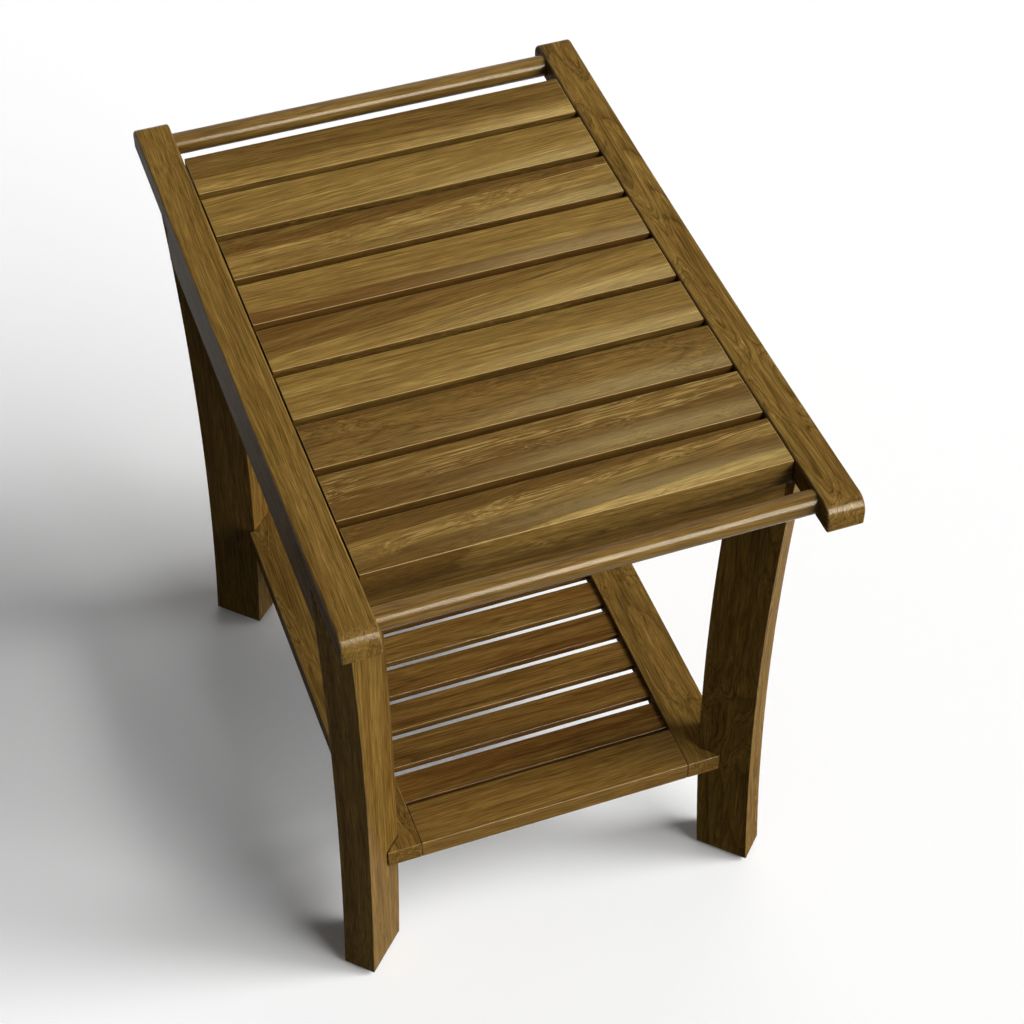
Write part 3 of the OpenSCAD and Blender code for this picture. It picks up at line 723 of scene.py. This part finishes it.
class BENCH_OT_handles(BenchOperator, bpy.types.Operator):
    """Turned handles, let into the side rails"""
    bl_idname = "bench.handles"
    bl_label = "Handles"

    def execute(self, context):
        chamfer = context.scene.bench_sizes.handle_edge
        circle = [Vector((math.cos(a), math.sin(a), 0)) for a in spread(0, 2 * math.pi, 96)[:-1]]
        for end in ENDS:
            low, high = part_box("handle_" + end)
            middle = (low + high) / 2
            radius = (high.z - low.z) / 2
            half = (high.x - low.x) / 2
            # (place along the handle, radius there, which way the normal tips)
            stations = [(-half, radius - chamfer, -1), (-half + chamfer, radius, 0),
                        (half - chamfer, radius, 0), (half, radius - chamfer, 1)]
            rings = [[(d * r + Vector((0, 0, x)), (d + Vector((0, 0, tip))).normalized())
                      for d in circle] for x, r, tip in stations]
            handle = skin("teak_handle_" + end, rings,
                          axes_at(middle, ALONG_Y, UP, ALONG_X))
            dress(handle, "handle_" + end, HANDLE_CUTS[end],
                  (ALONG_X, ALONG_Y, UP), middle)
        return {"FINISHED"}


class BENCH_OT_seat_slats(BenchOperator, bpy.types.Operator):
    """Seat slats, laid square to the dish"""
    bl_idname = "bench.seat_slats"
    bl_label = "Seat slats"

    def execute(self, context):
        sizes = context.scene.bench_sizes
        low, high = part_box("slat_5")
        long, wide = high.x - low.x, high.y - low.y
        arc = seat_radius() + sizes.board / 2
        # Sanding leaves the top a little crowned, and more so towards the front
        points = [(-wide / 2, -sizes.board / 2), (wide / 2, -sizes.board / 2)]
        points += [(t * wide / 2, sizes.board / 2 - sizes.crown * t ** 2 * (0.3 if t > 0 else 1))
                   for t in spread(1, -1, 16)]
        # Slats are eased less than the frame, and their ends least
        outline = eased(points, sizes.board_edge * 0.7)
        # The crown is shaded three times as steep as it is, because sanding rounds the wood
        # more and more towards its arrises
        for _, normal in outline:
            if normal.y > 0.9:
                normal.x *= 3
                normal.normalize()
        for i in SEAT_SLATS:
            low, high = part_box(f"slat_{i}")
            # The slat's middle lies on a radius of the dish
            tilt = math.asin((low.y + high.y) / 2 / arc)
            across = Vector((0, math.cos(tilt), math.sin(tilt)))
            out = Vector((0, -math.sin(tilt), math.cos(tilt)))
            middle = UP * seat_centre() - out * arc
            slat = skin(f"teak_slat_{i}", plate(outline, long, sizes.board_edge * 0.6),
                        axes_at(middle, across, out, ALONG_X))
            dress(slat, f"slat_{i}", SLAT_WEAR_AND_SHADE | SLAT_CUTS[i],
                  (ALONG_X, across, out), middle)
        return {"FINISHED"}


class BENCH_OT_aprons(BenchOperator, bpy.types.Operator):
    """Aprons, mitred against the legs and scribed to the dish"""
    bl_idname = "bench.aprons"
    bl_label = "Aprons"

    def execute(self, context):
        sizes = context.scene.bench_sizes
        under = sizes.board + sizes.glue
        for name, way in (SIDES | ENDS).items():
            low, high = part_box("apron_" + name)
            middle = (low + high) / 2
            side = name in SIDES
            long = (high.y - low.y if side else high.x - low.x) / 2
            along = ALONG_Y if side else ALONG_X
            out = (ALONG_X if side else ALONG_Y) * way

            def edge_at(u):
                """Height of the apron's top edge at u along it, before it is scribed."""
                return seat_top(u if side else abs(middle.y), under)

            def scribe(spot):
                """Mitres the ends inwards from the outer face, and fits the top to the dish."""
                depth = sizes.apron / 2 - (spot - middle).dot(out)
                u = spot.dot(along)
                spot = spot - along * (u / long * depth)
                if spot.z > middle.z:
                    spot.z += seat_top(spot.y, under) - edge_at(u)
                return spot

            points = [(-long, low.z), (long, low.z)]
            points += [(u, edge_at(u)) for u in spread(long, -long, 32)]
            apron = skin("teak_apron_" + name, worked(points, sizes.apron, sizes.board_edge),
                         axes_at(Vector((middle.x, middle.y, 0)), along, UP, out), scribe)
            cut = dict(pith=(12 * way, -40 - 9 * way), lean=(0.0, 0.012), start=900 + 400 * way,
                       tone=-0.4, warmth=0.35, turned=0.0 if side else 0.12)
            dress(apron, "apron_" + name, cut, (along, UP, out), middle)
        return {"FINISHED"}


class BENCH_OT_legs(BenchOperator, bpy.types.Operator):
    """Bowed legs, set at 45 degrees"""
    bl_idname = "bench.legs"
    bl_label = "Legs"

    def execute(self, context):
        sizes = context.scene.bench_sizes

        def trim(spot):
            """Scribes the top to the underside of the dished seat."""
            spot.z = min(spot.z, seat_top(spot.y, sizes.board + sizes.glue))
            return spot

        for (end, side), cut in LEG_CUTS.items():
            node = f"leg_{end}_{side}"
            out = Vector((SIDES[side], ENDS[end], 0)).normalized()
            foot = leg_foot(node, out)
            # The outline ends just past the seat's underside, to which it is trimmed
            top = seat_top(abs(foot.y) + sizes.leg_deep, sizes.board)
            heights = spread(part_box(node)[0].z, top, 40)
            outer = [(leg_reach(z) + sizes.leg_deep / 2, z) for z in heights]
            inner = [(leg_reach(z) - sizes.leg_deep / 2, z) for z in heights[::-1]]
            leg = skin("teak_" + node, worked(outer + inner, sizes.leg_thick, sizes.leg_edge),
                       axes_at(foot, out, UP, out.cross(UP)), trim)
            dress(leg, node, cut, (UP, out, UP.cross(out)),
                  foot + UP * rail_high.z / 2)
        return {"FINISHED"}


class BENCH_OT_shelf_frame(BenchOperator, bpy.types.Operator):
    """Shelf frame: two side boards notched round the legs, and two end boards between them"""
    bl_idname = "bench.shelf_frame"
    bl_label = "Shelf frame"

    def execute(self, context):
        for side in SIDES:
            self.side_board(context.scene.bench_sizes, side)
        for end in ENDS:
            self.end_board(context.scene.bench_sizes, end)
        return {"FINISHED"}

    def side_board(self, sizes, side):
        way = SIDES[side]
        low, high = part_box("shelf_rail_" + side)
        middle = (low + high) / 2
        foot = leg_foot("leg_back_" + side, Vector((way, 1, 0)).normalized())
        # The notch follows the leg's inner face and its two sides, seen in the back quarter
        inner = sizes.leg_deep / 2 - leg_reach(middle.z)
        half = sizes.leg_thick / 2 + sizes.notch
        step = math.sqrt(0.5)
        corner = (abs(foot.x) + (half - inner) * step, foot.y - (half + inner) * step)
        far = (corner[0] - 2 * half * step, corner[1] + 2 * half * step)
        edge_x, edge_y = max(abs(low.x), abs(high.x)), high.y
        open_x = min(abs(low.x), abs(high.x))
        tip = (far[0] + edge_y - far[1], edge_y)
        back = [(edge_x, corner[1]), corner, far, tip, (open_x, edge_y)]
        points = back + [(x, -y) for x, y in back[::-1]]
        rail = skin("teak_shelf_rail_" + side, worked(points, high.z - low.z, sizes.board_edge),
                    axes_at(Vector((0, 0, middle.z)), ALONG_X * way, ALONG_Y, UP))
        cut = dict(pith=(6 * way, -38), lean=(0.01 * way, 0.028), start=1500 + 700 * way,
                   tone=0.0, warmth=0.4, rings=0.5, wild=0.8)
        dress(rail, "shelf_rail_" + side, cut, (ALONG_Y, ALONG_X, UP), middle)

    def end_board(self, sizes, end):
        way = ENDS[end]
        low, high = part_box("shelf_board_" + end)
        middle = (low + high) / 2
        rings = worked(box_outline(high.y - low.y, high.z - low.z), high.x - low.x,
                       sizes.board_edge)
        board = skin("teak_shelf_board_" + end, rings, axes_at(middle, ALONG_Y, UP, ALONG_X))
        cut = dict(pith=(10 * way, -34), lean=(-0.02, 0.02), start=2600 + 500 * way,
                   tone=-0.1, warmth=0.6, turned=0.13)
        dress(board, "shelf_board_" + end, cut, (ALONG_X, ALONG_Y, UP), middle)


class BENCH_OT_shelf_slats(BenchOperator, bpy.types.Operator):
    """Thin shelf slats, let into the side boards"""
    bl_idname = "bench.shelf_slats"
    bl_label = "Shelf slats"

    def execute(self, context):
        sizes = context.scene.bench_sizes
        for i in SHELF_SLATS:
            low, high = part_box(f"shelf_slat_{i}")
            middle = (low + high) / 2
            rings = worked(box_outline(high.y - low.y, high.z - low.z), high.x - low.x,
                           sizes.board_edge)
            slat = skin(f"teak_shelf_slat_{i}", rings, axes_at(middle, ALONG_Y, UP, ALONG_X))
            # Each slat comes from another part of the log
            cut = dict(pith=(((i * 37) % 60) - 30, -26 - (i * 23) % 40),
                       lean=(0.02 - 0.008 * (i % 5), 0.01), start=400 * i,
                       tone=-0.5 + 0.08 * (i % 3), warmth=0.9, rings=0.45)
            dress(slat, f"shelf_slat_{i}", cut, (ALONG_X, ALONG_Y, UP), middle)
        return {"FINISHED"}


class BENCH_OT_supports(BenchOperator, bpy.types.Operator):
    """Cleats and corner blocks under the seat"""
    bl_idname = "bench.supports"
    bl_label = "Seat supports"

    def execute(self, context):
        cleats = ["cleat_" + side for side in SIDES]
        blocks = [f"corner_block_{end}_{side}" for end in ENDS for side in SIDES]
        finish_nodes("Teak, sawn", *cleats, *blocks)
        return {"FINISHED"}


class BENCH_OT_hardware(BenchOperator, bpy.types.Operator):
    """Screws, hanger bolts, nuts and washers"""
    bl_idname = "bench.hardware"
    bl_label = "Steel hardware"

    def execute(self, context):
        finish_nodes("Stainless steel, tumbled", "hanger_bolts", "bolt_washers", "bolt_nuts",
                     "slat_screws", "cleat_screws", "block_screws")
        return {"FINISHED"}


class BENCH_OT_dowels(BenchOperator, bpy.types.Operator):
    """Dowels and pins in the joints"""
    bl_idname = "bench.dowels"
    bl_label = "Dowels"

    def execute(self, context):
        finish_nodes("Beech dowel rod", "rail_dowels", "slat_dowels", "shelf_dowels",
                     "shelf_pins")
        return {"FINISHED"}


class BENCH_OT_glides(BenchOperator, bpy.types.Operator):
    """Foot glides, nailed into the legs' soles"""
    bl_idname = "bench.glides"
    bl_label = "Foot glides"

    def execute(self, context):
        finish_nodes("Polyethylene, moulded", "foot_glides")
        return {"FINISHED"}


# ------------------------------------------------------------------ stage

# The bench's middle, at which lamps are aimed
MIDDLE = Vector((0, 0, 0.2))
# So large that the floor's edge never shows
FLOOR_REACH = 40.0


def seen(tree):
    """1 for rays that show the background: the camera's, and those off metal and glass."""
    rays = add(tree, "ShaderNodeLightPath")
    mirrored = add(tree, "ShaderNodeMath", rays["Is Glossy Ray"], rays["Is Transmission Ray"],
                   operation="MAXIMUM")[0]
    return add(tree, "ShaderNodeMath", rays["Is Camera Ray"], mirrored,
               operation="MAXIMUM")[0]


def studio_floor():
    """Painted studio floor: white and matt where it is seen, and it keeps the bench's shadow.
    It throws back less light than it shows, as a floor does that the lamps are flagged off."""
    colours = bpy.context.scene.bench_colours
    material, tree = new_material("Studio floor, painted")
    paint = overlaid(tree, colours.bounce, (seen(tree), colours.floor))
    surface(tree, {"Base Color": paint, "Roughness": 0.9, "Specular IOR Level": 0.0})
    return material


def studio_world():
    """White surroundings where they are seen, which light the bench only a little."""
    world = bpy.data.worlds.new("Studio")
    world.use_nodes = True
    tree = world.node_tree
    tree.nodes.clear()
    fill = add(tree, "ShaderNodeBackground", {"Color": (1, 1, 1, 1), "Strength": 0.095})[0]
    white = add(tree, "ShaderNodeBackground", {"Color": (1, 1, 1, 1), "Strength": 1.0})[0]
    mixed = add(tree, "ShaderNodeMixShader", seen(tree), fill, white)[0]
    add(tree, "ShaderNodeOutputWorld", mixed)
    return world


def facing(azimuth, height):
    """A direction, with azimuth 0 along X."""
    a, h = math.radians(azimuth), math.radians(height)
    return Vector((math.cos(h) * math.cos(a), math.cos(h) * math.sin(a), math.sin(h)))


def new_lamp(name, kind, azimuth, height, distance=0.0):
    """A lamp that shines at the bench's middle from there."""
    way = facing(azimuth, height)
    thing = bpy.data.objects.new(name, bpy.data.lights.new(name, kind))
    bpy.context.scene.collection.objects.link(thing)
    thing.location = MIDDLE + way * distance
    thing.rotation_euler = (-way).to_track_quat("-Z", "Y").to_euler()
    return thing


def far_light(name, azimuth, height, angle, energy):
    """Light from far off, that many degrees wide. Nothing mirrors it."""
    thing = new_lamp(name, "SUN", azimuth, height)
    thing.data.angle = math.radians(angle)
    thing.data.energy = energy
    thing.visible_glossy = False
    return thing


def panel(name, azimuth, height, distance, wide, tall, power):
    """A rectangular lamp of that size in metres and power in watts."""
    thing = new_lamp(name, "AREA", azimuth, height, distance)
    thing.data.shape = "RECTANGLE"
    thing.data.size = wide
    thing.data.size_y = tall
    thing.data.energy = power
    return thing


def card(name, colour, **place_and_power):
    """A panel that is only there to be mirrored."""
    thing = panel(name, **place_and_power)
    thing.data.color = linear(colour)[:3]
    thing.visible_diffuse = False
    return thing


def only_for(lamp, name, things):
    """Links a lamp to those things alone."""
    lit = bpy.data.collections.new(name)
    for thing in things:
        lit.objects.link(thing)
    lamp.light_linking.receiver_collection = lit


class BENCH_OT_stage(BenchOperator, bpy.types.Operator):
    """Floor, lamps, surroundings and camera"""
    bl_idname = "bench.stage"
    bl_label = "Stage"

    def execute(self, context):
        scene = context.scene
        bench = [thing for thing in scene.objects if thing.type == "MESH"]
        corners = box_outline(2 * FLOOR_REACH, 2 * FLOOR_REACH)
        mesh = bpy.data.meshes.new("studio_floor")
        mesh.from_pydata([(x, y, 0) for x, y in corners], [], [(0, 1, 2, 3)])
        mesh.materials.append(studio_floor())
        floor = bpy.data.objects.new("studio_floor", mesh)
        scene.collection.objects.link(floor)
        scene.world = studio_world()

        # A bright window and a wide dull one beside it, both far off to the front right
        far_light("window", azimuth=-18.0, height=40.0, angle=20.0, energy=1.3)
        far_light("wide_window", azimuth=-40.0, height=22.5, angle=60.0, energy=4.5)
        panel("back_top", azimuth=58.0, height=60.0, distance=4.0, wide=2.0, tall=2.0,
              power=15.6)
        # A fill from behind, flagged off the floor
        back_fill = far_light("back_fill", azimuth=82.0, height=5.0, angle=30.0, energy=2.0)
        only_for(back_fill, "bench", bench)
        # The first card draws the highlight along the handles and arrises, and the second,
        # flagged off the rest, the sheen on the slats
        card("front_card", "#fff8e4", azimuth=-72.0, height=34.5, distance=2.6, wide=0.9,
             tall=1.4, power=180.0)
        back_card = card("back_card", "#ffeca8", azimuth=60.5, height=51.5, distance=9.0,
                         wide=1.3, tall=1.3, power=620.0)
        only_for(back_card, "sheen", [bpy.data.objects[f"teak_slat_{i}"] for i in SEAT_SLATS])

        # A long lens looks down on the seat from the front left
        eye = bpy.data.cameras.new("studio_camera")
        eye.lens = 79.83
        eye.sensor_width = 36.0
        camera = bpy.data.objects.new("studio_camera", eye)
        scene.collection.objects.link(camera)
        camera.location = (-0.3653, -1.0984, 1.4787)
        camera.rotation_euler = [math.radians(a) for a in (43.225, -0.051, -19.808)]
        scene.camera = camera
        scene.view_settings.view_transform = "Standard"
        return {"FINISHED"}


OPERATORS = (
    BENCH_OT_rails, BENCH_OT_handles, BENCH_OT_seat_slats, BENCH_OT_aprons, BENCH_OT_legs,
    BENCH_OT_shelf_frame, BENCH_OT_shelf_slats, BENCH_OT_supports, BENCH_OT_hardware,
    BENCH_OT_dowels, BENCH_OT_glides, BENCH_OT_stage,
)


class BENCH_PT_panel(bpy.types.Panel):
    """Lists the bench's pieces in the order in which they are made"""
    bl_idname = "BENCH_PT_panel"
    bl_label = "Teak shower bench"
    bl_space_type = "VIEW_3D"
    bl_region_type = "UI"
    bl_category = "Shower bench"

    def draw(self, context):
        layout = self.layout
        for group in (context.scene.bench_sizes, context.scene.bench_colours):
            box = layout.box()
            for name in group.__annotations__:
                box.prop(group, name)
        for operator in OPERATORS:
            layout.operator(operator.bl_idname)


CLASSES = (BenchSizes, BenchColours, *OPERATORS, BENCH_PT_panel)


def register():
    for cls in CLASSES:
        bpy.utils.register_class(cls)
    bpy.types.Scene.bench_sizes = bpy.props.PointerProperty(type=BenchSizes)
    bpy.types.Scene.bench_colours = bpy.props.PointerProperty(type=BenchColours)


def unregister():
    del bpy.types.Scene.bench_colours
    del bpy.types.Scene.bench_sizes
    for cls in reversed(CLASSES):
        bpy.utils.unregister_class(cls)


def main():
    """Registers the add-on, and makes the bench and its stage."""
    register()
    for operator in OPERATORS:
        group, name = operator.bl_idname.split(".")
        getattr(getattr(bpy.ops, group), name)()


if __name__ == "__main__":
    main()
